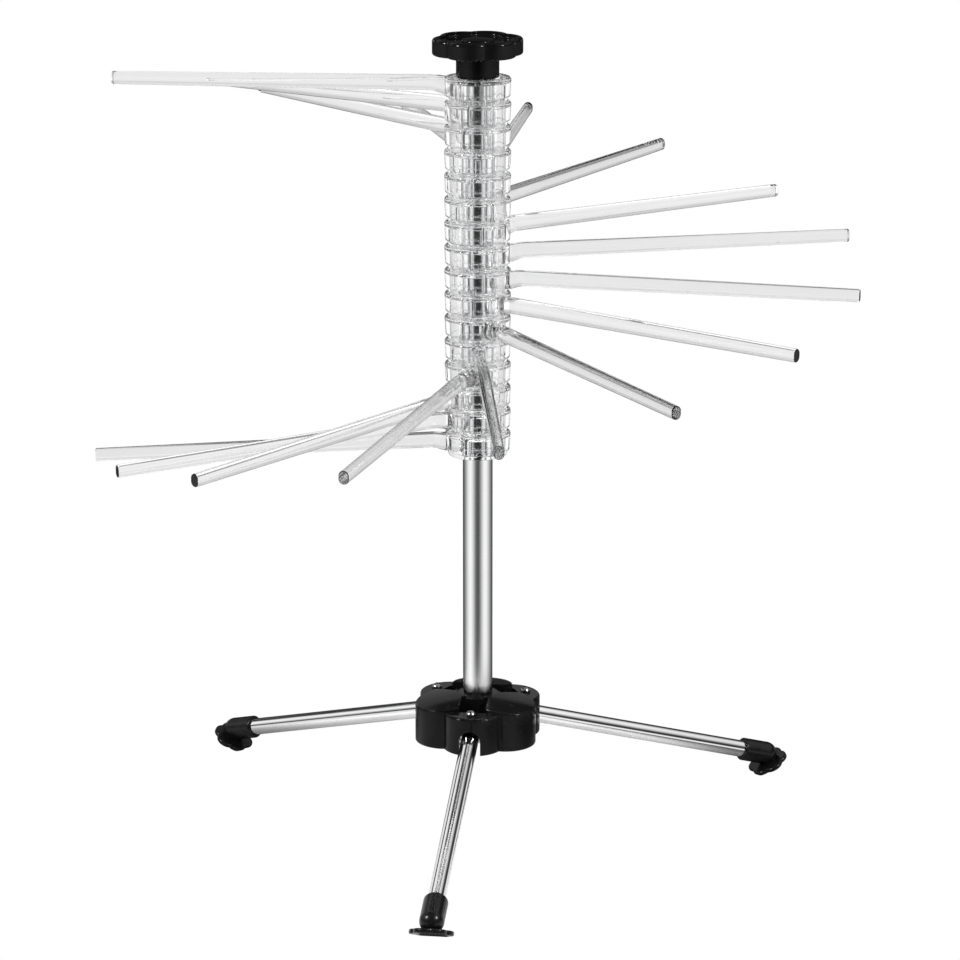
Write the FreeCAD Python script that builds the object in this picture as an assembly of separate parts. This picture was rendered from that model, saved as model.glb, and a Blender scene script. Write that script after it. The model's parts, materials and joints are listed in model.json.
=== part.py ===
import FreeCAD, Part
import os
from math import cos, sin, radians

# Drying rack with a fan of arms: a chromed pole on a folding three-legged base
# carries a stack of sixteen clear rings, each with one long arm. Millimetres.
# +Z is up along the pole, the origin is on the pole's axis at the level of the
# surface that the feet stand on.

V = FreeCAD.Vector
os.makedirs("parts", exist_ok=True)

# ---------------------------------------------------------------- dimensions
# Pole
POLE_R = 8.5             # outside radius of the tube
POLE_WALL = 1.2
POLE_Z0 = 53.0           # foot of the tube, in the hub's socket
POLE_Z1 = 440.0          # top of the tube, inside the knob's neck

# Stack of rings
STACK_Z0 = 219.4         # underside of the lowest ring
RING_PITCH = 13.5
RING_H = 13.2            # leaves 0.3 between neighbours
RING_BORE_R = 8.58       # turns on the pole
RING_SLEEVE_R = 10.6     # outside of the inner sleeve
RING_CAVITY_R = 15.4     # inside of the outer wall
RING_SPIGOT_R = 16.7     # narrow band at the foot of the outer wall
RING_LOW_R = 18.1        # wall above that band
RING_TOP_R = 18.7        # wall just under the rim
RING_WEB = 2.0           # thickness of the closed top
SPIGOT_H = 2.7

# Arm on each ring
ARM_TIP_R = 216.0
ARM_ROOT_W, ARM_ROOT_H = 7.0, 9.2
ARM_TIP_W, ARM_TIP_H = 5.7, 7.4
ARM_ROOT_Z = 8.7         # height of the arm's middle above the ring's underside
ARM_TIP_Z = 6.7          # before the arm's own rise

# Lug of one ring in the slot of the ring below
LUG_R = 1.5
LUG_AT_R = 13.0
LUG_REACH = 2.6          # below the ring's underside
LUG_CLEAR = 0.3
POST_TOP = 9.8           # top of the lug's post, inside the ring
FAN_STEP = 27.0          # degrees from gathered to fully fanned, per ring
LUG_ANGLE = 166.5        # from the ring's own arm
KEY_W, KEY_H = 3.2, 3.0  # notches in the sleeve's ends

# Directions of the arms, degrees from +X, top ring first
ARM_DIR = [164.0, 137.0, 127.0, 104.0, 81.8, 59.0, 35.3, 11.5,
           -15.0, -39.0, -61.8, -87.1, -108.5, -133.5, -155.0, -173.8]

# Rise (or droop, below zero) of each arm's tip, top ring first
ARM_RISE = [-4.2, -6.3, -2.0, 0.7, 4.4, 1.0, -1.8, 2.3,
            3.5, 3.5, 0.4, -0.3, -3.0, -4.8, -5.0, -1.2]

# Knob
KNOB_NECK_R = 12.0
KNOB_NECK_H = 12.3
KNOB_FLANGE_H = 9.6
KNOB_LOBE_R, KNOB_LOBE_C = 13.8, 11.6   # lobe radius and its centre's distance
KNOB_DIR = 10.5                          # direction of one lobe
KNOB_RIM = 3.4                           # width of the rim round the dish in its top
KNOB_DISH = 2.4

# Hub
HUB_Z0, HUB_Z1 = 49.4, 71.8
HUB_LOBE_R, HUB_LOBE_C = 17.6, 20.0
HUB_BOSS_R, HUB_BOSS_Z1 = 12.0, 75.2
LEG_DIR = {"front": -97.5, "right": 22.5, "left": 142.5}
POCKET_W = 15.6
POCKET_R0, POCKET_R1, POCKET_R2 = 11.0, 25.6, 34.2   # boss, edge of the land, outer wall
LAND_Z0 = 66.9
ARCH_R, ARCH_Z = 6.1, 57.75

# Legs
PIVOT_R, PIVOT_Z = 28.2, 60.0
LEG_SLOPE = 17.0         # degrees below level when spread
LEG_TUBE_R, LEG_WALL = 5.0, 0.8
LEG_S0, LEG_S1 = 7.2, 160.0      # along the leg from its pivot
KNUCKLE_R, KNUCKLE_W = 5.3, 14.8
PIN_R, PIN_L = 2.0, 26.6
PIN_CLEAR = 0.06

# Feet
FERRULE_R = 6.8
FERRULE_S0, FERRULE_S1 = 150.0, 166.8
PAD_LOBE_R, PAD_LOBE_C = 6.2, 6.0
PAD_T = 2.6
PAD_TILT = 28.0          # outer edge up, so the pad is oblique to the leg by 45 degrees
PAD_AT_R = 190.0
HEEL = 1.0               # depth of the flat on the pad's inner edge


# ------------------------------------------------------------------- helpers
def cyl(r, h, z0, at=(0.0, 0.0)):
    return Part.makeCylinder(r, h, V(at[0], at[1], z0))


def tube(r_out, r_in, h, z0):
    return cyl(r_out, h, z0).cut(cyl(r_in, h + 2, z0 - 1))


def revolve(points):
    """Solid of revolution about Z. A point is (r, z), or ('arc', through, end)."""
    edges, here = [], points[0]
    for p in list(points[1:]) + [points[0]]:
        if p[0] == "arc":
            through, end = p[1], p[2]
            edges.append(Part.Arc(V(here[0], 0, here[1]), V(through[0], 0, through[1]), V(end[0], 0, end[1])).toShape())
            here = end
        else:
            if abs(p[0] - here[0]) + abs(p[1] - here[1]) > 1e-9:
                edges.append(Part.makeLine(V(here[0], 0, here[1]), V(p[0], 0, p[1])))
            here = p
    return Part.Face(Part.Wire(edges)).revolve(V(0, 0, 0), V(0, 0, 1), 360)


def turned(shape, degrees):
    s = shape.copy()
    s.rotate(V(0, 0, 0), V(0, 0, 1), degrees)
    return s


def lifted(shape, dz):
    s = shape.copy()
    s.translate(V(0, 0, dz))
    return s


def fuse(shapes):
    out = shapes[0]
    if len(shapes) > 1:
        out = out.multiFuse(list(shapes[1:]))
    return out.removeSplitter()


def round_disc(r, z0, z1, low, high, at):
    """Upright disc with its rims rounded by the radii low and high."""
    d = cyl(r, z1 - z0, z0, at)
    for z, f in ((z0, low), (z1, high)):
        if f > 0:
            rim = [e for e in d.Edges if e.isClosed() and abs(e.BoundBox.ZMin - z) < 1e-4 and abs(e.BoundBox.ZMax - z) < 1e-4]
            d = d.makeFillet(f, rim)
    return d


def flower(lobes, r, c, z0, z1, low, high, first):
    """Disc with a scalloped edge, made of round lobes about its middle."""
    parts = []
    for i in range(lobes):
        a = radians(first + i * 360.0 / lobes)
        parts.append(round_disc(r, z0, z1, low, high, (c * cos(a), c * sin(a))))
    return fuse(parts)


def oval(x, w, h, zc):
    """Upright stadium outline in the plane at x."""
    a, b = w / 2.0, h / 2.0 - w / 2.0
    top = Part.Arc(V(x, -a, zc + b), V(x, 0, zc + b + a), V(x, a, zc + b)).toShape()
    bot = Part.Arc(V(x, a, zc - b), V(x, 0, zc - b - a), V(x, -a, zc - b)).toShape()
    return Part.Wire([top,
                      Part.makeLine(V(x, a, zc + b), V(x, a, zc - b)),
                      bot,
                      Part.makeLine(V(x, -a, zc - b), V(x, -a, zc + b))])


def box(x0, x1, w, z0, z1):
    return Part.makeBox(x1 - x0, w, z1 - z0, V(x0, -w / 2.0, z0))


def save(name, shape):
    solids = shape.Solids
    assert solids, name
    out = solids[0] if len(solids) == 1 else Part.makeCompound(solids)
    assert out.isValid(), name
    out.exportStep("parts/%s.step" % name)
    print(name, len(solids), "solid", round(out.Volume, 1))
    return out


# ------------------------------------------------------- rings with their arms
def arm_moulding(lug, rise):
    """One clear moulding, its arm along +X and its ring's underside at z = 0."""
    h = RING_H
    body = revolve([
        (RING_BORE_R, 0.0),
        (RING_SPIGOT_R - 0.5, 0.0),
        ("arc", (RING_SPIGOT_R - 0.147, 0.147), (RING_SPIGOT_R, 0.5)),
        (RING_SPIGOT_R, SPIGOT_H),
        (RING_LOW_R - 0.6, SPIGOT_H),
        ("arc", (RING_LOW_R - 0.176, SPIGOT_H + 0.176), (RING_LOW_R, SPIGOT_H + 0.6)),
        (RING_TOP_R, h - 1.5),
        ("arc", (RING_TOP_R - 0.35, h - 0.45), (RING_TOP_R - 1.4, h)),
        (RING_BORE_R, h),
    ])
    cavity = revolve([
        (RING_SLEEVE_R, -1.0),
        (RING_CAVITY_R, -1.0),
        (RING_CAVITY_R, h - RING_WEB - 0.8),
        ("arc", (RING_CAVITY_R - 0.234, h - RING_WEB - 0.234), (RING_CAVITY_R - 0.8, h - RING_WEB)),
        (RING_SLEEVE_R, h - RING_WEB),
    ])
    ring = body.cut(cavity)
    ribs = []
    for a in (60.0, 115.0, 245.0, 300.0):
        ribs.append(turned(box(RING_SLEEVE_R - 0.4, RING_CAVITY_R + 0.4, 1.3, 1.6, h - RING_WEB + 0.4), a))
    # the lug's post stands on a rib that stops short of the slot above it
    ribs.append(turned(box(RING_SLEEVE_R - 0.4, RING_CAVITY_R + 0.4, 1.3, 1.6, POST_TOP), LUG_ANGLE))
    a = radians(LUG_ANGLE)
    low = -LUG_REACH if lug else 1.6
    post = round_disc(LUG_R, low, POST_TOP, 0.4, 0.0, (LUG_AT_R * cos(a), LUG_AT_R * sin(a)))
    zc = lambda x: ARM_ROOT_Z + (ARM_TIP_Z + rise - ARM_ROOT_Z) * (x - 26.0) / (ARM_TIP_R - 26.0)
    root = Part.makeLoft([oval(10.2, 8.6, 11.0, 7.2), oval(18.2, 8.2, 10.6, 7.5), oval(21.0, 7.5, 9.7, 8.2), oval(26.0, ARM_ROOT_W, ARM_ROOT_H, zc(26.0))], True, True)
    tip0 = ARM_TIP_R - 0.5
    rod = Part.makeLoft([oval(26.0, ARM_ROOT_W, ARM_ROOT_H, zc(26.0)), oval(tip0, ARM_TIP_W, ARM_TIP_H, zc(tip0))], True, True)
    tip = Part.makeLoft([oval(tip0, ARM_TIP_W, ARM_TIP_H, zc(tip0)), oval(ARM_TIP_R, ARM_TIP_W - 0.9, ARM_TIP_H - 0.9, zc(ARM_TIP_R))], True, True)
    whole = ring.multiFuse(ribs + [post, root, rod, tip])
    # arc slot in the top for the lug of the ring above
    r_in, r_out = LUG_AT_R - LUG_R - LUG_CLEAR, LUG_AT_R + LUG_R + LUG_CLEAR
    z0, z1 = h - RING_WEB - 0.6, h + 1.0
    sweep = Part.makeCylinder(r_out, z1 - z0, V(0, 0, z0), V(0, 0, 1), FAN_STEP).cut(cyl(r_in, z1 - z0 + 2, z0 - 1))
    slot = [turned(sweep, LUG_ANGLE)]
    for end in (LUG_ANGLE, LUG_ANGLE + FAN_STEP):
        e = radians(end)
        slot.append(cyl(LUG_R + LUG_CLEAR, z1 - z0, z0, (LUG_AT_R * cos(e), LUG_AT_R * sin(e))))
    # key notches across the sleeve, below and above
    for z in ((-1.0, KEY_H), (h - KEY_H, h + 1.0)):
        for a in (90.0, 270.0):
            slot.append(turned(box(RING_BORE_R - 1.0, RING_SLEEVE_R + 0.1, KEY_W, z[0], z[1]), a))
    whole = whole.cut(slot[0].multiFuse(slot[1:]))
    # the pole's passage stays clear of the arm's root
    whole = whole.cut(cyl(RING_BORE_R, h + 4, -2))
    return whole.removeSplitter()


for k in range(1, 17):
    arm = arm_moulding(k < 16, ARM_RISE[k - 1])
    save("arm_%02d" % k, lifted(turned(arm, ARM_DIR[k - 1]), STACK_Z0 + (16 - k) * RING_PITCH))

# ---------------------------------------------------------------------- pole
pole = tube(POLE_R, POLE_R - POLE_WALL, POLE_Z1 - POLE_Z0, POLE_Z0)
CROSS_R = 1.5
cross_z = STACK_Z0 + KEY_H - CROSS_R - 0.05
cross_dir = ARM_DIR[15] + 90.0
CROSS_L = 23.0
cross = Part.makeCylinder(CROSS_R, CROSS_L, V(-CROSS_L / 2.0, 0, cross_z), V(1, 0, 0))
cross = turned(cross, cross_dir)
save("pole", pole.cut(cross))
save("stack_pin", cross)

PLUG_R = POLE_R - POLE_WALL
top_plug = cyl(PLUG_R, 15.0, POLE_Z1 - 15.0).cut(cyl(2.5, 20.0, POLE_Z1 - 13.0))
save("pole_top_plug", top_plug)
foot_plug = cyl(PLUG_R, 16.0, POLE_Z0).cut(cyl(3.0, 14.0, POLE_Z0 - 1.0))
save("pole_foot_plug", foot_plug)

# ---------------------------------------------------------------------- knob
STACK_Z1 = STACK_Z0 + 15 * RING_PITCH + RING_H
NECK_Z1 = STACK_Z1 + KNOB_NECK_H
KNOB_Z1 = NECK_Z1 + KNOB_FLANGE_H
flange = flower(6, KNOB_LOBE_R, KNOB_LOBE_C, NECK_Z1, KNOB_Z1, 1.6, 1.9, KNOB_DIR)
neck = revolve([(0, STACK_Z1), (KNOB_NECK_R - 0.5, STACK_Z1), ("arc", (KNOB_NECK_R - 0.147, STACK_Z1 + 0.147), (KNOB_NECK_R, STACK_Z1 + 0.5)),
                (KNOB_NECK_R, NECK_Z1 - 0.8), ("arc", (KNOB_NECK_R + 0.234, NECK_Z1 - 0.234), (KNOB_NECK_R + 0.8, NECK_Z1)),
                (KNOB_NECK_R + 0.8, NECK_Z1 + 1.0), (0, NECK_Z1 + 1.0)])
knob = flange.multiFuse([neck])
SEAT_Z = NECK_Z1 + 0.8
knob_cut = [
    cyl(RING_BORE_R, POLE_Z1 + 0.6 - STACK_Z1 + 1.0, STACK_Z1 - 1.0),   # turns on the pole's top
    cyl(3.06, 20.0, POLE_Z1),                                        # turns on the shoulder of the screw
    cyl(7.4, 20.0, SEAT_Z),                                          # well for the screw's head
    cyl(9.2, 20.0, KNOB_Z1 - 4.6),                                   # seat of the cap
    flower(6, KNOB_LOBE_R - KNOB_RIM, KNOB_LOBE_C, KNOB_Z1 - KNOB_DISH, KNOB_Z1 + 1.0, 1.0, 0.0, KNOB_DIR),
]
knob = knob.cut(knob_cut[0].multiFuse(knob_cut[1:]))
tabs = []
for a in (90.0, 270.0):
    tabs.append(turned(box(RING_BORE_R + 0.02, RING_SLEEVE_R - 0.1, KEY_W - 0.2, STACK_Z1 - KEY_H + 0.2, STACK_Z1 + 0.5), ARM_DIR[0] + a))
knob = knob.multiFuse(tabs).removeSplitter()
save("knob", knob)

cap_z = KNOB_Z1 - 4.6
CAP_DOME = 55.0          # radius of the cap's gently crowned top
cap = cyl(9.2, 4.2, cap_z).common(Part.makeSphere(CAP_DOME, V(0, 0, cap_z + 4.2 - CAP_DOME)))
cap = cap.makeFillet(0.9, [e for e in cap.Edges if e.isClosed() and abs(e.BoundBox.ZMin - e.BoundBox.ZMax) < 1e-4 and e.BoundBox.ZMin > cap_z + 2.0])
cap = cap.cut(cyl(7.6, 1.2, cap_z - 0.2))
save("knob_cap", cap)

washer = tube(6.6, 3.06, 0.8, SEAT_Z + 0.3)
save("knob_washer", washer)
head_z = SEAT_Z + 1.1
screw = fuse([cyl(2.5, 12.0, POLE_Z1 - 12.0), cyl(3.0, head_z - POLE_Z1, POLE_Z1), round_disc(5.2, head_z, head_z + 2.6, 0.0, 0.6, (0, 0))])
slot_cut = Part.makeBox(12.0, 1.2, 1.2, V(-6.0, -0.6, head_z + 1.5))
save("knob_screw", screw.cut(slot_cut))

# ----------------------------------------------------------------------- hub
parts = [cyl(HUB_BOSS_R, HUB_BOSS_Z1 - HUB_Z0, HUB_Z0)]
dome = revolve([(0, HUB_Z0 - 1), (42, HUB_Z0 - 1), (42, 70.4), ("arc", (24.0, 74.8), (0, 77.3))])
for name, d in LEG_DIR.items():
    a = radians(d)
    parts.append(round_disc(HUB_LOBE_R, HUB_Z0, HUB_Z1, 0.8, 1.3, (HUB_LOBE_C * cos(a), HUB_LOBE_C * sin(a))))
    a = radians(d + 60.0)
    at = (HUB_LOBE_C * cos(a), HUB_LOBE_C * sin(a))
    lobe = cyl(HUB_LOBE_R, 40.0, HUB_Z0, at).common(dome)
    rim = [e for e in lobe.Edges if e.BoundBox.ZMax - e.BoundBox.ZMin > 0.5 and e.BoundBox.ZMin > 60 and e.Length > 20]
    if rim:
        lobe = lobe.makeFillet(1.2, rim)
    rim = [e for e in lobe.Edges if e.isClosed() and abs(e.BoundBox.ZMax - HUB_Z0) < 1e-4]
    if rim:
        lobe = lobe.makeFillet(0.8, rim)
    parts.append(lobe)
hub = fuse(parts)
cuts = []
for name, d in LEG_DIR.items():
    cuts.append(turned(box(POCKET_R0, POCKET_R1, POCKET_W, HUB_Z0 - 2, HUB_Z1 + 10), d))
    cuts.append(turned(box(POCKET_R0, POCKET_R2, POCKET_W, HUB_Z0 - 2, LAND_Z0), d))
    cuts.append(turned(box(POCKET_R2 - 1.0, 42.0, 2 * ARCH_R, HUB_Z0 - 2, ARCH_Z), d))
    cuts.append(turned(Part.makeCylinder(ARCH_R, 10.0, V(POCKET_R2 - 1.0, 0, ARCH_Z), V(1, 0, 0)), d))
hub = hub.cut(cuts[0].multiFuse(cuts[1:]))
hub = hub.multiFuse([cyl(HUB_BOSS_R, HUB_BOSS_Z1 - HUB_Z0, HUB_Z0)])
cuts = [cyl(POLE_R, 40.0, POLE_Z0), cyl(3.2, 10.0, HUB_Z0 - 2), cyl(8.2, 1.2, HUB_Z0 - 0.2),
        cyl(HUB_BOSS_R, 10.0, HUB_BOSS_Z1)]
CLAMP_R = 30.0
CLAMP_Z0 = 66.2
for name, d in LEG_DIR.items():
    cuts.append(turned(Part.makeCylinder(PIN_R, PIN_L, V(PIVOT_R, -PIN_L / 2.0, PIVOT_Z), V(0, 1, 0)), d))
    cuts.append(turned(cyl(2.0, 12.0, LAND_Z0 - 2.0, (CLAMP_R, 0)), d))
hub = hub.cut(cuts[0].multiFuse(cuts[1:])).removeSplitter()
save("base_hub", hub)

base_washer = tube(7.4, 3.2, 1.0, HUB_Z0)
save("base_washer", base_washer)
base_screw = fuse([cyl(3.0, POLE_Z0 + 11.0 - HUB_Z0, HUB_Z0), round_disc(5.6, HUB_Z0 - 3.2, HUB_Z0, 1.0, 0.0, (0, 0))])
save("base_screw", base_screw)

# ---------------------------------------------------------------------- legs
clamps = []
for name, d in LEG_DIR.items():
    # along +X of the leg's own frame, pivot at its origin, then laid to its slope
    def place(s):
        s = s.copy()
        s.rotate(V(0, 0, 0), V(0, 1, 0), LEG_SLOPE)
        s.translate(V(PIVOT_R, 0, PIVOT_Z))
        return turned(s, d)

    def along(r, s0, s1):
        return Part.makeCylinder(r, s1 - s0, V(s0, 0, 0), V(1, 0, 0))

    leg = along(LEG_TUBE_R, LEG_S0, LEG_S1).cut(along(LEG_TUBE_R - LEG_WALL, LEG_S0 - 1, LEG_S1 + 1))
    save("leg_%s_tube" % name, place(leg))
    barrel = Part.makeCylinder(KNUCKLE_R, KNUCKLE_W, V(0, -KNUCKLE_W / 2.0, 0), V(0, 1, 0))
    knuckle = barrel.multiFuse([along(LEG_TUBE_R, 0.0, LEG_S0), along(LEG_TUBE_R - LEG_WALL, 0.0, 24.0)])
    knuckle = knuckle.cut(Part.makeCylinder(PIN_R + PIN_CLEAR, KNUCKLE_W + 2, V(0, -KNUCKLE_W / 2.0 - 1, 0), V(0, 1, 0))).removeSplitter()
    save("leg_%s_knuckle" % name, place(knuckle))
    save("leg_%s_pin" % name, turned(Part.makeCylinder(PIN_R, PIN_L, V(PIVOT_R, -PIN_L / 2.0, PIVOT_Z), V(0, 1, 0)), d))
    head = cyl(2.9, 3.0, HUB_Z1).common(Part.makeSphere(3.1, V(0, 0, HUB_Z1 + 3.0 - 3.1)))
    head = head.cut(Part.makeBox(9.0, 0.8, 1.0, V(-4.5, -0.4, HUB_Z1 + 2.2)))
    clamp = fuse([head, cyl(2.0, HUB_Z1 - CLAMP_Z0 + 0.5, CLAMP_Z0)])
    clamp.translate(V(CLAMP_R, 0, 0))
    clamps.append(turned(clamp, d))

    # foot: ferrule with a rounded end on a tilted flower-edged pad
    t = radians(PAD_TILT)
    pad_low = (PAD_LOBE_C * cos(radians(30.0)) + PAD_LOBE_R) * sin(t) - HEEL
    pad = flower(6, PAD_LOBE_R, PAD_LOBE_C, 0.0, PAD_T, 0.5, 0.9, 30.0)
    pad.rotate(V(0, 0, 0), V(0, 1, 0), -PAD_TILT)
    pad.translate(V(PAD_AT_R, 0, pad_low))
    fer = along(FERRULE_R, FERRULE_S0, FERRULE_S1)
    rim = [e for e in fer.Edges if e.isClosed() and abs(e.BoundBox.XMax - FERRULE_S0) < 1e-4]
    fer = fer.makeFillet(0.9, rim)
    fer = fer.fuse(Part.makeSphere(FERRULE_R, V(FERRULE_S1, 0, 0)))
    fer.rotate(V(0, 0, 0), V(0, 1, 0), LEG_SLOPE)
    fer.translate(V(PIVOT_R, 0, PIVOT_Z))
    below = Part.makeBox(120.0, 80.0, 40.0, V(-60.0, -40.0, -40.0))
    below.rotate(V(0, 0, 0), V(0, 1, 0), -PAD_TILT)
    below.translate(V(PAD_AT_R, 0, pad_low))
    fer = fer.cut(below)
    foot = pad.multiFuse([fer]).removeSplitter()
    bore = along(LEG_TUBE_R, FERRULE_S0 - 5.0, LEG_S1)
    bore.rotate(V(0, 0, 0), V(0, 1, 0), LEG_SLOPE)
    bore.translate(V(PIVOT_R, 0, PIVOT_Z))
    foot = foot.cut(bore)
    # the pad's inner edge is flattened where it bears on the table
    foot = foot.cut(Part.makeBox(120.0, 80.0, 40.0, V(PAD_AT_R - 60.0, -40.0, -40.0)))
    save("foot_%s" % name, turned(foot, d))
save("leg_clamp_screws", Part.makeCompound(clamps))
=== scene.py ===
import json
from math import pi, sin, cos, tan, radians, sqrt, atan2

import bpy
import bmesh
from mathutils import Matrix, Vector


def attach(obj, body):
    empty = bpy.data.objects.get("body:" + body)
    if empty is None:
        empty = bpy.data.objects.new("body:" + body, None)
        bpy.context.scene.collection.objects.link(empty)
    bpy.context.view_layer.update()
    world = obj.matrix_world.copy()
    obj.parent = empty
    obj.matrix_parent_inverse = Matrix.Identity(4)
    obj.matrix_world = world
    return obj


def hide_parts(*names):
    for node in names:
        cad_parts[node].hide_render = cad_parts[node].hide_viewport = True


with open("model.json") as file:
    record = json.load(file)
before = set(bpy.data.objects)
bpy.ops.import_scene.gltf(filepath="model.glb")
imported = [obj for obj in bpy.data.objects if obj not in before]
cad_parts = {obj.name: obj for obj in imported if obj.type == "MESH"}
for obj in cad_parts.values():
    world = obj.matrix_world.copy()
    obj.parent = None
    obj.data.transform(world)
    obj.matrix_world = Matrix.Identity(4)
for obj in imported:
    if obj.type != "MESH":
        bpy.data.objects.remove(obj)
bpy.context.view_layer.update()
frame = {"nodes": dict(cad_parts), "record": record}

scene = bpy.context.scene
nodes = frame["nodes"]
MM = 0.001

# ------------------------------------------------------------------ dimensions
# the same ones as the solid model, in millimetres
POLE_R, POLE_IN, POLE_Z0, POLE_Z1 = 8.5, 7.3, 53.0, 440.0
STACK_Z0, RING_PITCH, RING_H = 219.4, 13.5, 13.2
ARM_TIP_R = 216.0
LUG_ANGLE, FAN_STEP, LUG_AT_R, LUG_R = 166.5, 27.0, 13.0, 1.5
ARM_DIR = [164.0, 137.0, 127.0, 104.0, 81.8, 59.0, 35.3, 11.5,
           -15.0, -39.0, -61.8, -87.1, -108.5, -133.5, -155.0, -173.8]
ARM_RISE = [-4.2, -6.3, -2.0, 0.7, 4.4, 1.0, -1.8, 2.3,
            3.5, 3.5, 0.4, -0.3, -3.0, -4.8, -5.0, -1.2]
LEG_DIR = {"front": -97.5, "right": 22.5, "left": 142.5}
PIVOT_R, PIVOT_Z, LEG_SLOPE = 28.2, 60.0, 17.0
LEG_R, LEG_IN, LEG_S0, LEG_S1 = 5.0, 4.2, 7.2, 160.0


# --------------------------------------------------------------------- helpers
def rounded(points, n=4):
    """Closed outline from (r, z, corner radius) points."""
    out, m = [], len(points)
    for i, (x, y, f) in enumerate(points):
        p = Vector((x, y))
        if f <= 0:
            out.append((x, y))
            continue
        a, b = Vector(points[i - 1][:2]) - p, Vector(points[(i + 1) % m][:2]) - p
        a.normalize(); b.normalize()
        half = a.angle(b) / 2
        c = p + (a + b).normalized() * (f / sin(half))
        p0, p1 = p + a * (f / tan(half)), p + b * (f / tan(half))
        a0, a1 = atan2(p0.y - c.y, p0.x - c.x), atan2(p1.y - c.y, p1.x - c.x)
        d = (a1 - a0 + pi) % (2 * pi) - pi
        out += [(c.x + f * cos(a0 + d * k / n), c.y + f * sin(a0 + d * k / n)) for k in range(n + 1)]
    return out


def to_object(name, bm):
    bmesh.ops.recalc_face_normals(bm, faces=bm.faces)
    me = bpy.data.meshes.new(name)
    bm.to_mesh(me)
    bm.free()
    ob = bpy.data.objects.new(name, me)
    scene.collection.objects.link(ob)
    return ob


def lathe(name, outline, segs):
    """Turns a closed (r, z) outline, clear of the axis, about Z."""
    bm = bmesh.new()
    rows = []
    for i in range(segs):
        a = 2 * pi * i / segs
        rows.append([bm.verts.new((r * cos(a) * MM, r * sin(a) * MM, z * MM)) for r, z in outline])
    m = len(outline)
    for i in range(segs):
        A, B = rows[i], rows[(i + 1) % segs]
        for j in range(m):
            k = (j + 1) % m
            bm.faces.new((A[j], B[j], B[k], A[k]))
    return to_object(name, bm)


def spindle(name, outline, segs):
    """Turns an open (r, z) outline, from axis to axis, about Z."""
    bm = bmesh.new()
    first, last = outline[0], outline[-1]
    v0, v1 = bm.verts.new((0, 0, first[1] * MM)), bm.verts.new((0, 0, last[1] * MM))
    rows = []
    for i in range(segs):
        a = 2 * pi * i / segs
        rows.append([bm.verts.new((r * cos(a) * MM, r * sin(a) * MM, z * MM)) for r, z in outline[1:-1]])
    for i in range(segs):
        A, B = rows[i], rows[(i + 1) % segs]
        bm.faces.new((v0, B[0], A[0]))
        bm.faces.new((v1, A[-1], B[-1]))
        for j in range(len(A) - 1):
            bm.faces.new((A[j], B[j], B[j + 1], A[j + 1]))
    return to_object(name, bm)


def prism(name, outline, z0, z1):
    """Upright prism over a closed (x, y) outline."""
    bm = bmesh.new()
    lo = [bm.verts.new((x * MM, y * MM, z0 * MM)) for x, y in outline]
    hi = [bm.verts.new((x * MM, y * MM, z1 * MM)) for x, y in outline]
    bm.faces.new(lo)
    bm.faces.new(hi)
    for i in range(len(lo)):
        k = (i + 1) % len(lo)
        bm.faces.new((lo[i], lo[k], hi[k], hi[i]))
    return to_object(name, bm)


def block(name, x0, x1, w, z0, z1, turn):
    """Box along X from x0 to x1, turned about Z by degrees."""
    c, s = cos(radians(turn)), sin(radians(turn))
    pts = [(x0, -w / 2), (x1, -w / 2), (x1, w / 2), (x0, w / 2)]
    return prism(name, [(x * c - y * s, x * s + y * c) for x, y in pts], z0, z1)


def loft(name, loops):
    """Closed solid through loops of points with the same count."""
    bm = bmesh.new()
    rows = [[bm.verts.new((x * MM, y * MM, z * MM)) for x, y, z in loop] for loop in loops]
    m = len(rows[0])
    for A, B in zip(rows, rows[1:]):
        for j in range(m):
            k = (j + 1) % m
            bm.faces.new((A[j], A[k], B[k], B[j]))
    bm.faces.new(rows[0])
    bm.faces.new(rows[-1])
    return to_object(name, bm)


def combine(target, others, operation):
    """Boolean of target with the others, which are then removed."""
    for o in others:
        m = target.modifiers.new("b", "BOOLEAN")
        m.operation, m.solver, m.object = operation, "MANIFOLD", o
    dg = bpy.context.evaluated_depsgraph_get()
    dg.update()
    me = bpy.data.meshes.new_from_object(target.evaluated_get(dg))
    target.modifiers.clear()
    old = target.data
    target.data = me
    bpy.data.meshes.remove(old)
    for o in others:
        old = o.data
        bpy.data.objects.remove(o)
        bpy.data.meshes.remove(old)
    return target


def smooth(ob, angle=32.0, weigh=True):
    me = ob.data
    me.shade_smooth()
    me.set_sharp_from_angle(angle=radians(angle))
    if weigh:
        w = ob.modifiers.new("normals", "WEIGHTED_NORMAL")
        w.mode, w.keep_sharp, w.weight = "FACE_AREA_WITH_ANGLE", True, 50
    return ob


def material(name):
    m = bpy.data.materials.new(name)
    m.use_nodes = True
    nt = m.node_tree
    return m, nt, nt.nodes["Principled BSDF"]


def add(nt, kind, **values):
    n = nt.nodes.new(kind)
    for k, v in values.items():
        setattr(n, k, v)
    return n


def coords(nt, scale=(1, 1, 1), rotation=(0, 0, 0)):
    tc = add(nt, "ShaderNodeTexCoord")
    mp = add(nt, "ShaderNodeMapping")
    mp.inputs["Scale"].default_value = scale
    mp.inputs["Rotation"].default_value = rotation
    nt.links.new(tc.outputs["Object"], mp.inputs["Vector"])
    return mp.outputs["Vector"]


def noise(nt, vec, scale, detail=4.0, rough=0.55):
    n = add(nt, "ShaderNodeTexNoise")
    n.inputs["Scale"].default_value = scale
    n.inputs["Detail"].default_value = detail
    n.inputs["Roughness"].default_value = rough
    nt.links.new(vec, n.inputs["Vector"])
    return n.outputs["Fac"]


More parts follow.
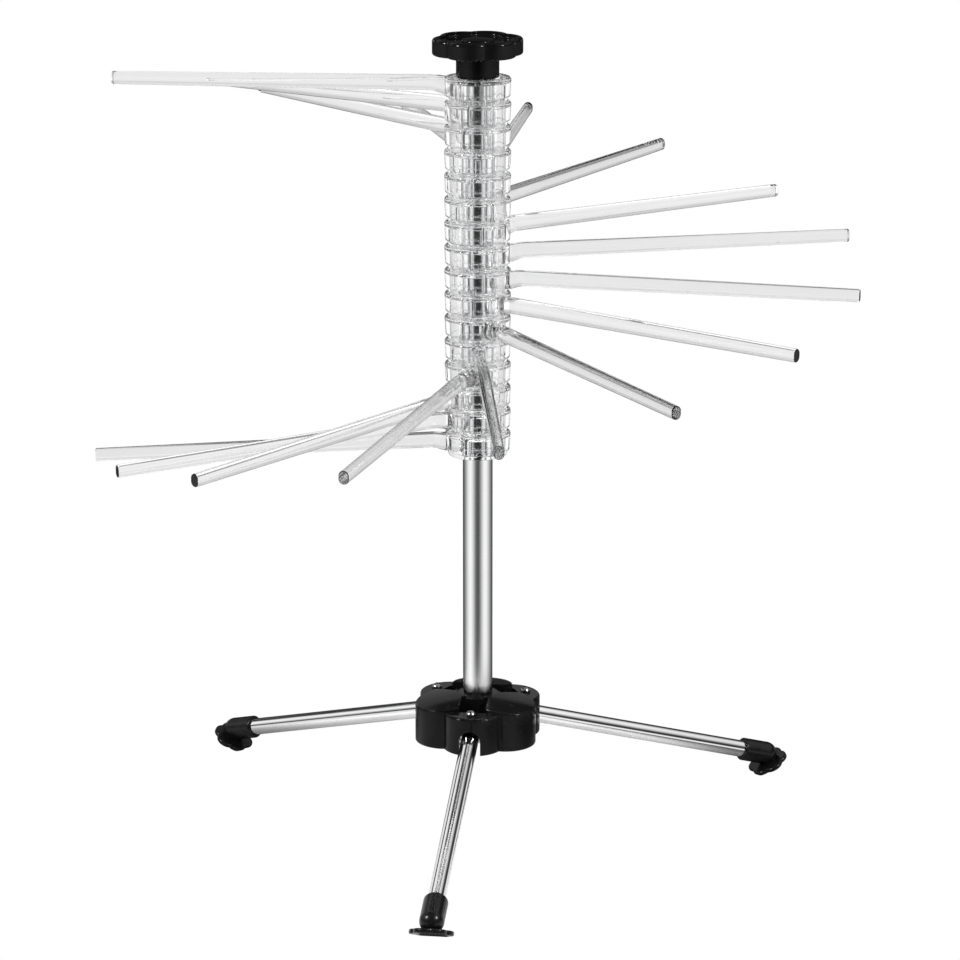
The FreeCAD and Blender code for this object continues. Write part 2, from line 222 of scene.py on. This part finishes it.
def ramp(nt, fac, stops):
    r = add(nt, "ShaderNodeValToRGB")
    els = r.color_ramp.elements
    while len(els) < len(stops):
        els.new(0.5)
    for e, (p, c) in zip(els, stops):
        e.position = p
        e.color = (c, c, c, 1) if isinstance(c, (int, float)) else (*c, 1)
    nt.links.new(fac, r.inputs["Fac"])
    return r.outputs["Color"]


def bump(nt, height, strength, distance, into, edge=0.0):
    """Fine relief, over edges that are broken by the radius edge."""
    b = add(nt, "ShaderNodeBump")
    if edge > 0:
        soft = add(nt, "ShaderNodeBevel", samples=6)
        soft.inputs["Radius"].default_value = edge
        nt.links.new(soft.outputs["Normal"], b.inputs["Normal"])
    b.inputs["Strength"].default_value = strength
    b.inputs["Distance"].default_value = distance
    nt.links.new(height, b.inputs["Height"])
    nt.links.new(b.outputs["Normal"], into.inputs["Normal"])


def map_range(nt, fac, lo, hi, a=0.0, b=1.0):
    r = add(nt, "ShaderNodeMapRange")
    r.inputs["From Min"].default_value, r.inputs["From Max"].default_value = a, b
    r.inputs["To Min"].default_value, r.inputs["To Max"].default_value = lo, hi
    nt.links.new(fac, r.inputs["Value"])
    return r.outputs["Result"]


# ------------------------------------------------------------------- materials
def satin_chrome():
    """Plated tube, drawn along its length: fine streaks, soft reflections."""
    m, nt, p = material("satin_chrome")
    p.inputs["Metallic"].default_value = 1.0
    streak = noise(nt, coords(nt, (900, 900, 6)), 1.0, 3.0)
    cloud = noise(nt, coords(nt), 22.0)
    nt.links.new(ramp(nt, cloud, [(0.3, (0.80, 0.805, 0.815)), (0.7, (0.86, 0.86, 0.865))]), p.inputs["Base Color"])
    nt.links.new(map_range(nt, streak, 0.13, 0.21, 0.3, 0.7), p.inputs["Roughness"])
    bump(nt, streak, 0.04, 0.0002, p)
    return m


def bright_chrome():
    """Polished plate with faint handling marks."""
    m, nt, p = material("bright_chrome")
    p.inputs["Metallic"].default_value = 1.0
    cloud = noise(nt, coords(nt), 60.0)
    fine = noise(nt, coords(nt, (1, 1, 1), (0.4, 0.2, 0.9)), 900.0, 2.0)
    nt.links.new(ramp(nt, cloud, [(0.3, (0.80, 0.80, 0.81)), (0.7, (0.87, 0.87, 0.875))]), p.inputs["Base Color"])
    nt.links.new(map_range(nt, cloud, 0.05, 0.11, 0.3, 0.7), p.inputs["Roughness"])
    bump(nt, fine, 0.015, 0.0001, p)
    return m


def plated_steel():
    m, nt, p = material("plated_steel")
    p.inputs["Metallic"].default_value = 1.0
    cloud = noise(nt, coords(nt), 140.0)
    fine = noise(nt, coords(nt, (1, 1, 8)), 500.0, 3.0)
    nt.links.new(ramp(nt, cloud, [(0.3, (0.30, 0.30, 0.31)), (0.7, (0.40, 0.40, 0.41))]), p.inputs["Base Color"])
    nt.links.new(map_range(nt, fine, 0.16, 0.26, 0.3, 0.7), p.inputs["Roughness"])
    bump(nt, fine, 0.05, 0.0001, p)
    return m


def black_gloss():
    """Moulded black plastic, polished tool, faint flow and dust."""
    m, nt, p = material("black_gloss_plastic")
    cloud = noise(nt, coords(nt), 45.0)
    peel = noise(nt, coords(nt), 420.0, 2.0)
    nt.links.new(ramp(nt, cloud, [(0.3, (0.0018, 0.0018, 0.002)), (0.75, (0.0042, 0.0042, 0.0045))]), p.inputs["Base Color"])
    nt.links.new(map_range(nt, cloud, 0.08, 0.15, 0.3, 0.7), p.inputs["Roughness"])
    p.inputs["Specular IOR Level"].default_value = 0.12
    bump(nt, peel, 0.03, 0.0002, p, 0.0005)
    return m


def black_rubber():
    m, nt, p = material("black_rubber")
    cloud = noise(nt, coords(nt), 90.0)
    grain = noise(nt, coords(nt), 1500.0, 2.0)
    nt.links.new(ramp(nt, cloud, [(0.3, (0.0028, 0.0028, 0.003)), (0.75, (0.006, 0.006, 0.006))]), p.inputs["Base Color"])
    nt.links.new(map_range(nt, cloud, 0.20, 0.30, 0.3, 0.7), p.inputs["Roughness"])
    p.inputs["Specular IOR Level"].default_value = 0.22
    bump(nt, grain, 0.08, 0.0001, p, 0.0004)
    return m


def clear_plastic():
    """Clear moulded plastic, polished, with slight flow waves."""
    m, nt, p = material("clear_plastic")
    p.inputs["Transmission Weight"].default_value = 1.0
    p.inputs["IOR"].default_value = 1.49
    cloud = noise(nt, coords(nt), 35.0)
    wave = noise(nt, coords(nt), 110.0, 2.0)
    nt.links.new(ramp(nt, cloud, [(0.3, (0.978, 0.98, 0.982)), (0.7, (0.996, 0.997, 0.997))]), p.inputs["Base Color"])
    nt.links.new(map_range(nt, cloud, 0.0, 0.035, 0.35, 0.75), p.inputs["Roughness"])
    bump(nt, wave, 0.035, 0.0006, p)
    return m


SATIN, BRIGHT, STEEL = satin_chrome(), bright_chrome(), plated_steel()
BLACK, RUBBER, CLEAR = black_gloss(), black_rubber(), clear_plastic()


def dress(ob, mat):
    ob.data.materials.clear()
    ob.data.materials.append(mat)
    return ob


def piece(ob, mat, body, slot, *stands_for):
    dress(ob, mat)
    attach(ob, body)
    if stands_for:
        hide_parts(*stands_for)
    return ob


def body_of(node):
    for b, members in frame["record"]["behaviour"]["bodies"].items():
        if node in members:
            return b


# --------------------------------------------------------------- rings and arms
def oval(x, w, h, zc, n=14):
    """Upright stadium loop in the plane at x."""
    a, b = w / 2, h / 2 - w / 2
    pts = []
    for k in range(n + 1):
        t = pi * k / n
        pts.append((x, a * cos(t), zc + b + a * sin(t)))
    for k in range(1, 3):
        pts.append((x, -a, zc + b - 2 * b * k / 3))
    for k in range(n + 1):
        t = pi + pi * k / n
        pts.append((x, a * cos(t), zc - b + a * sin(t)))
    for k in range(1, 3):
        pts.append((x, a, zc - b + 2 * b * k / 3))
    return pts


def arm_mould(name, lug):
    """Ring with its arm along +X, the ring's underside at z = 0."""
    ring = lathe(name, rounded([
        (8.58, 0, 0.25), (10.6, 0, 0.2), (10.6, 11.2, 0.3), (15.4, 11.2, 0.8), (15.4, 0, 0.2), (16.7, 0, 0.45),
        (16.7, 2.7, 0.15), (18.1, 2.7, 0.55), (18.74, 13.2, 1.4), (8.58, 13.2, 0.25)]), 160)
    zc = lambda x: 8.7 - 2.0 * (x - 26.0) / (ARM_TIP_R - 26.0)
    loops = [oval(10.0, 8.6, 11.0, 7.2)]
    for k in range(11):
        e = k / 10.0                       # eased from the ring's wall to the rod
        e = e * e * (3 - 2 * e)
        loops.append(oval(17.6 + 0.84 * k, 8.2 - 1.2 * e, 10.6 - 1.4 * e, 7.5 + 1.2 * e))
    for k in range(1, 25):
        x = 26.0 + (215.5 - 26.0) * k / 24
        f = (x - 26.0) / 189.5
        loops.append(oval(x, 7.0 - 1.3 * f, 9.2 - 1.8 * f, zc(x)))
    for dx, inset in ((0.19, 0.04), (0.35, 0.15), (0.46, 0.31), (0.5, 0.5)):
        loops.append(oval(215.5 + dx, 5.7 - 2 * inset, 7.4 - 2 * inset, zc(215.5)))
    rod = loft("rod", loops)
    parts = [rod]
    for a in (60.0, 115.0, 245.0, 300.0):
        parts.append(block("rib", 10.2, 15.8, 1.3, 1.6, 11.6, a))
    parts.append(block("rib", 10.2, 15.8, 1.3, 1.6, 9.8, LUG_ANGLE))
    a = radians(LUG_ANGLE)
    low = -2.6 if lug else 1.6
    post = spindle("post", [(0, low), (1.1, low), (1.38, low + 0.12), (1.5, low + 0.4), (1.5, 9.8), (0, 9.8)], 32)
    post.data.transform(Matrix.Translation((LUG_AT_R * cos(a) * MM, LUG_AT_R * sin(a) * MM, 0)))
    parts.append(post)
    combine(ring, parts, "UNION")
    ri, ro, re = LUG_AT_R - LUG_R - 0.3, LUG_AT_R + LUG_R + 0.3, LUG_R + 0.3
    arc = []
    n = 18
    for k in range(n + 1):
        t = radians(LUG_ANGLE + FAN_STEP * k / n)
        arc.append((ro * cos(t), ro * sin(t)))
    e = radians(LUG_ANGLE + FAN_STEP)
    for k in range(1, 9):
        t = e + pi * k / 9
        arc.append((LUG_AT_R * cos(e) + re * cos(t), LUG_AT_R * sin(e) + re * sin(t)))
    for k in range(n + 1):
        t = radians(LUG_ANGLE + FAN_STEP * (1 - k / n))
        arc.append((ri * cos(t), ri * sin(t)))
    e = radians(LUG_ANGLE)
    for k in range(1, 9):
        t = e + pi + pi * k / 9
        arc.append((LUG_AT_R * cos(e) + re * cos(t), LUG_AT_R * sin(e) + re * sin(t)))
    cuts = [prism("slot", arc, 10.6, 14.2)]
    for z0, z1 in ((-1.0, 3.0), (10.2, 14.2)):
        for t in (90.0, 270.0):
            cuts.append(block("notch", 7.6, 10.7, 3.2, z0, z1, t))
    combine(ring, cuts, "DIFFERENCE")
    smooth(ring)
    return ring


master = {True: arm_mould("mould_lug", True), False: arm_mould("mould_plain", False)}
for k in range(1, 17):
    src = master[k < 16]
    me = src.data.copy()
    for v in me.vertices:
        if v.co.x > 0.026:
            v.co.z += ARM_RISE[k - 1] * MM * (v.co.x - 0.026) / 0.190
    me.transform(Matrix.Translation((0, 0, (STACK_Z0 + (16 - k) * RING_PITCH) * MM)) @ Matrix.Rotation(radians(ARM_DIR[k - 1]), 4, "Z"))
    ob = bpy.data.objects.new("clear_arm_%02d" % k, me)
    scene.collection.objects.link(ob)
    w = ob.modifiers.new("normals", "WEIGHTED_NORMAL")
    w.mode, w.keep_sharp, w.weight = "FACE_AREA_WITH_ANGLE", True, 50
    node = "arm_%02d" % k
    piece(ob, CLEAR, body_of(node), "clear_plastic", node)
for ob in master.values():
    me = ob.data
    bpy.data.objects.remove(ob)
    bpy.data.meshes.remove(me)

# ---------------------------------------------------------------- pole and legs
pole = lathe("pole_tube", rounded([(POLE_IN, POLE_Z0, 0.2), (POLE_R, POLE_Z0, 0.3), (POLE_R, POLE_Z1, 0.3), (POLE_IN, POLE_Z1, 0.2)], 3), 144)
cross = spindle("cross", [(0, -14), (1.5, -14), (1.5, 14), (0, 14)], 32)
cross.data.transform(Matrix.Translation((0, 0, 220.85 * MM)) @ Matrix.Rotation(radians(ARM_DIR[15] + 90.0), 4, "Z") @ Matrix.Rotation(radians(90), 4, "Y"))
combine(pole, [cross], "DIFFERENCE")
smooth(pole)
piece(pole, SATIN, "base", "chrome", "pole")


def leg_matrix(name):
    d = radians(LEG_DIR[name])
    return (Matrix.Translation((PIVOT_R * cos(d) * MM, PIVOT_R * sin(d) * MM, PIVOT_Z * MM))
            @ Matrix.Rotation(d, 4, "Z") @ Matrix.Rotation(radians(LEG_SLOPE), 4, "Y") @ Matrix.Rotation(radians(90), 4, "Y"))


for name in LEG_DIR:
    leg = lathe("leg_%s_chromed" % name, rounded([(LEG_IN, LEG_S0, 0.1), (LEG_R, LEG_S0, 0.25), (LEG_R, LEG_S1, 0.25), (LEG_IN, LEG_S1, 0.1)], 3), 96)
    leg.data.transform(leg_matrix(name))
    smooth(leg)
    piece(leg, BRIGHT, "leg_" + name, "chrome", "leg_%s_tube" % name)

# ------------------------------------------------ nodes kept as they are, dressed
for n, ob in nodes.items():
    if ob.hide_render:
        continue
    slot = next(s["material_slot"] for s in frame["record"]["subparts"] if s["node"] == n)
    if n == "leg_clamp_screws":
        slot = "steel"
    dress(ob, {"chrome": BRIGHT, "steel": STEEL, "black_plastic": BLACK, "rubber": RUBBER, "clear_plastic": CLEAR}[slot])

# ----------------------------------------------------------------------- stage
bm = bmesh.new()
R = 1.1
rows = []
for r in (0.0, 0.2, 0.45, 0.8, R):
    rows.append([bm.verts.new((r * cos(2 * pi * i / 96), r * sin(2 * pi * i / 96), 0.0)) for i in range(96)] if r else [bm.verts.new((0, 0, 0))])
for i in range(96):
    k = (i + 1) % 96
    bm.faces.new((rows[0][0], rows[1][i], rows[1][k]))
    for A, B in zip(rows[1:], rows[2:]):
        bm.faces.new((A[i], B[i], B[k], A[k]))
floor = to_object("floor", bm)
for v in floor.data.polygons[:1]:
    if v.normal.z < 0:
        floor.data.flip_normals()
floor.location.z = -0.0002
m, nt, p = material("pale_floor")
grain = noise(nt, coords(nt), 30.0)
pale = ramp(nt, grain, [(0.3, (0.88, 0.88, 0.88)), (0.7, (0.91, 0.91, 0.91))])
# painted shade: for glossy rays only, the floor's colour is darkened towards the back and the right, so the chrome
# mirrors a darker floor there
tc = add(nt, "ShaderNodeTexCoord")
sep = add(nt, "ShaderNodeSeparateXYZ")
nt.links.new(tc.outputs["Object"], sep.inputs[0])
lp = add(nt, "ShaderNodeLightPath")
floor_tone_with_painted_shade = add(nt, "ShaderNodeMix", data_type="RGBA", blend_type="MULTIPLY")
nt.links.new(lp.outputs["Is Glossy Ray"], floor_tone_with_painted_shade.inputs["Factor"])
nt.links.new(pale, floor_tone_with_painted_shade.inputs[6])
back = ramp(nt, map_range(nt, sep.outputs["Y"], 0.0, 1.0, 0.0, 0.16), [(0.12, 0.72), (0.31, 0.6), (0.47, 0.42), (0.62, 0.25), (0.9, 0.12)])
right = ramp(nt, map_range(nt, sep.outputs["X"], 0.0, 1.0, -0.2, 0.2), [(0.0, 1.0), (0.22, 0.78), (0.35, 0.86), (0.75, 0.88), (0.81, 0.74), (0.88, 0.38), (0.95, 0.12)])
painted_shade_falloff = add(nt, "ShaderNodeMix", data_type="RGBA", blend_type="MULTIPLY")
painted_shade_falloff.inputs["Factor"].default_value = 1.0
nt.links.new(back, painted_shade_falloff.inputs[6])
nt.links.new(right, painted_shade_falloff.inputs[7])
# the painted shade multiplies the floor's colour only where the ray is a glossy one
nt.links.new(painted_shade_falloff.outputs[2], floor_tone_with_painted_shade.inputs[7])
nt.links.new(floor_tone_with_painted_shade.outputs[2], p.inputs["Base Color"])
p.inputs["Roughness"].default_value = 0.9
p.inputs["Specular IOR Level"].default_value = 0.1
grad = add(nt, "ShaderNodeVectorMath", operation="LENGTH")
tc = add(nt, "ShaderNodeTexCoord")
nt.links.new(tc.outputs["Object"], grad.inputs[0])
fade = map_range(nt, grad.outputs["Value"], 1.0, 0.0, 0.205, 0.27)
# it has an upper side only, so a leg folded below it doesn't mirror it
geo = add(nt, "ShaderNodeNewGeometry")
front = add(nt, "ShaderNodeMath", operation="SUBTRACT")
front.use_clamp = True
nt.links.new(fade, front.inputs[0])
nt.links.new(geo.outputs["Backfacing"], front.inputs[1])
nt.links.new(front.outputs[0], p.inputs["Alpha"])
dress(floor, m)
floor.visible_camera = False               # legs that are folded reach below it

# ----------------------------------------------------------------------- light
world = bpy.data.worlds.new("studio")
scene.world = world
world.use_nodes = True
nt = world.node_tree
nt.nodes.clear()


def mth(op, a, b=None, clamp=False):
    n = add(nt, "ShaderNodeMath", operation=op)
    n.use_clamp = clamp
    for i, v in enumerate((a, b)):
        if v is None:
            continue
        if isinstance(v, (int, float)):
            n.inputs[i].default_value = v
        else:
            nt.links.new(v, n.inputs[i])
    return n.outputs[0]


def step(x, a, b):
    """0 at a, 1 at b, smooth between."""
    r = add(nt, "ShaderNodeMapRange", interpolation_type="SMOOTHSTEP")
    r.inputs["From Min"].default_value, r.inputs["From Max"].default_value = a, b
    nt.links.new(x, r.inputs["Value"])
    return r.outputs["Result"]


def mix(f, a, b):
    """a at 0, b at 1."""
    return mth("ADD", mth("MULTIPLY", a, mth("SUBTRACT", 1.0, f)), mth("MULTIPLY", b, f))


tc = add(nt, "ShaderNodeTexCoord")
sep = add(nt, "ShaderNodeSeparateXYZ")
nt.links.new(tc.outputs["Generated"], sep.inputs[0])
X, Y, Z = sep.outputs
# beside and behind the camera the low surroundings are dark and bright in turn
azim = mth("ABSOLUTE", mth("ARCTAN2", X, mth("MULTIPLY", Y, -1.0)))
sides = ramp(nt, mth("DIVIDE", azim, pi), [(0.0, 0.085), (0.055, 0.11), (0.111, 0.27), (0.168, 0.58), (0.226, 0.88), (0.286, 1.08), (0.348, 1.12), (0.415, 0.98), (0.488, 0.74), (0.571, 0.44), (0.668, 0.21), (0.78, 0.08), (1.0, 0.06)])
low = step(Z, 0.12, -0.02)


def times(*fs):
    out = fs[0]
    for f in fs[1:]:
        out = mth("MULTIPLY", out, f)
    return out


# high soft light on the right, a window on the left, pale cards low behind
slant = mth("SUBTRACT", Z, mth("MULTIPLY", Y, 0.1))
high = times(mth("DIVIDE", mth("SUBTRACT", slant, 0.43), 0.26, True), step(X, 0.24, 0.50), step(Y, 0.76, 0.66))
window = times(step(X, -0.40, -0.60), step(Y, 0.60, 0.34), step(Y, -0.12, 0.22), step(Z, 0.10, 0.28), step(Z, 0.66, 0.56))
corner = times(step(X, -0.14, -0.34), step(Y, 0.45, 0.55), step(Z, 0.50, 0.56), step(Z, 0.84, 0.72))
card_left = times(step(X, -0.36, -0.44), step(Y, 0.62, 0.72), step(Z, 0.40, 0.32), step(Z, -0.10, -0.02))
card_right = times(step(X, 0.50, 0.62), step(Y, 0.52, 0.62), step(Z, 0.28, 0.10), step(Z, -0.12, -0.02))
upper = mth("ADD", mth("ADD", mth("ADD", high, window), mth("MULTIPLY", corner, 0.95)), 0.05)
cards = mth("MULTIPLY", mth("ADD", card_left, card_right), 0.9)
banded = mth("MAXIMUM", mix(low, upper, sides), cards)
ceiling = mth("MULTIPLY", step(Z, 0.58, 0.66), step(mth("SUBTRACT", Y, mth("MULTIPLY", X, 0.4)), 0.60, 0.50))
# what is seen in and through the clear plastic is paler
sides_clear = ramp(nt, mth("DIVIDE", azim, pi), [(0.0, 0.01), (0.13, 0.03), (0.19, 0.9), (0.27, 1.3), (0.31, 0.25), (0.37, 0.25), (0.41, 1.3), (0.58, 1.3), (0.63, 0.3), (0.70, 0.3), (0.75, 1.2), (1.0, 1.2)])
behind = mth("MULTIPLY", times(step(Y, 0.58, 0.78), step(Z, 0.54, 0.38)), 0.40)
above = mth("MULTIPLY", times(step(Y, 0.38, 0.50), step(Z, 0.42, 0.56)), 0.17)
upper_clear = mth("ADD", mth("MULTIPLY", ceiling, 2.2), mth("ADD", mth("SUBTRACT", 0.22, above), behind))
inside = mix(low, upper_clear, sides_clear)
through = mix(low, mth("ADD", mth("MULTIPLY", ceiling, 0.5), 0.66), 0.85)
lp = add(nt, "ShaderNodeLightPath")
passed = mth("GREATER_THAN", lp.outputs["Transmission Depth"], 0.5)
mirrored = mth("GREATER_THAN", lp.outputs["Glossy Depth"], 0.5)
light = mix(passed, banded, mix(mirrored, through, inside))
light = mix(lp.outputs["Is Diffuse Ray"], light, 1.05)
light = mix(lp.outputs["Is Camera Ray"], light, 1.0)
bg = add(nt, "ShaderNodeBackground")
bg.inputs["Strength"].default_value = 1.0
nt.links.new(light, bg.inputs["Color"])
out = add(nt, "ShaderNodeOutputWorld")
nt.links.new(bg.outputs[0], out.inputs["Surface"])


def soft_box(name, at, to, size, power):
    l = bpy.data.lights.new(name, "AREA")
    l.shape, l.size, l.size_y, l.energy = "RECTANGLE", size[0], size[1], power
    ob = bpy.data.objects.new(name, l)
    ob.location = at
    ob.rotation_euler = (Vector(to) - Vector(at)).to_track_quat("-Z", "Y").to_euler()
    ob.visible_camera = False
    scene.collection.objects.link(ob)
    return ob


soft_box("key", (-1.20, -0.55, 1.20), (0, 0, 0.2), (0.18, 0.24), 26.0)
soft_box("fill", (1.10, -0.70, 1.15), (0, 0, 0.25), (0.16, 0.22), 18.0)
# a broad back light gives the hub's top its sheen
back = soft_box("back", (-0.30, 1.40, 0.62), (0, 0, 0.07), (1.9, 0.6), 1.7)
hub_only = bpy.data.collections.new("hub_only")
hub_only.objects.link(nodes["base_hub"])
back.light_linking.receiver_collection = hub_only

# ---------------------------------------------------------------------- camera
cam_data = bpy.data.cameras.new("camera")
cam_data.sensor_fit, cam_data.sensor_width = "HORIZONTAL", 36.0
cam_data.lens = 3630.0 / 960.0 * 36.0
cam_data.clip_start, cam_data.clip_end = 0.05, 50.0
cam = bpy.data.objects.new("camera", cam_data)
cam.location = (0.0013, -1.987, 0.7776)
cam.rotation_euler = (radians(90.0 - 16.12), 0, 0)
scene.collection.objects.link(cam)
scene.camera = cam

scene.view_settings.view_transform = "Standard"
# light has to find its way through sixteen clear rings
if hasattr(scene, "cycles"):
    scene.cycles.max_bounces = 32
    scene.cycles.transmission_bounces = 32
    scene.cycles.glossy_bounces = 12
    scene.cycles.transparent_max_bounces = 24
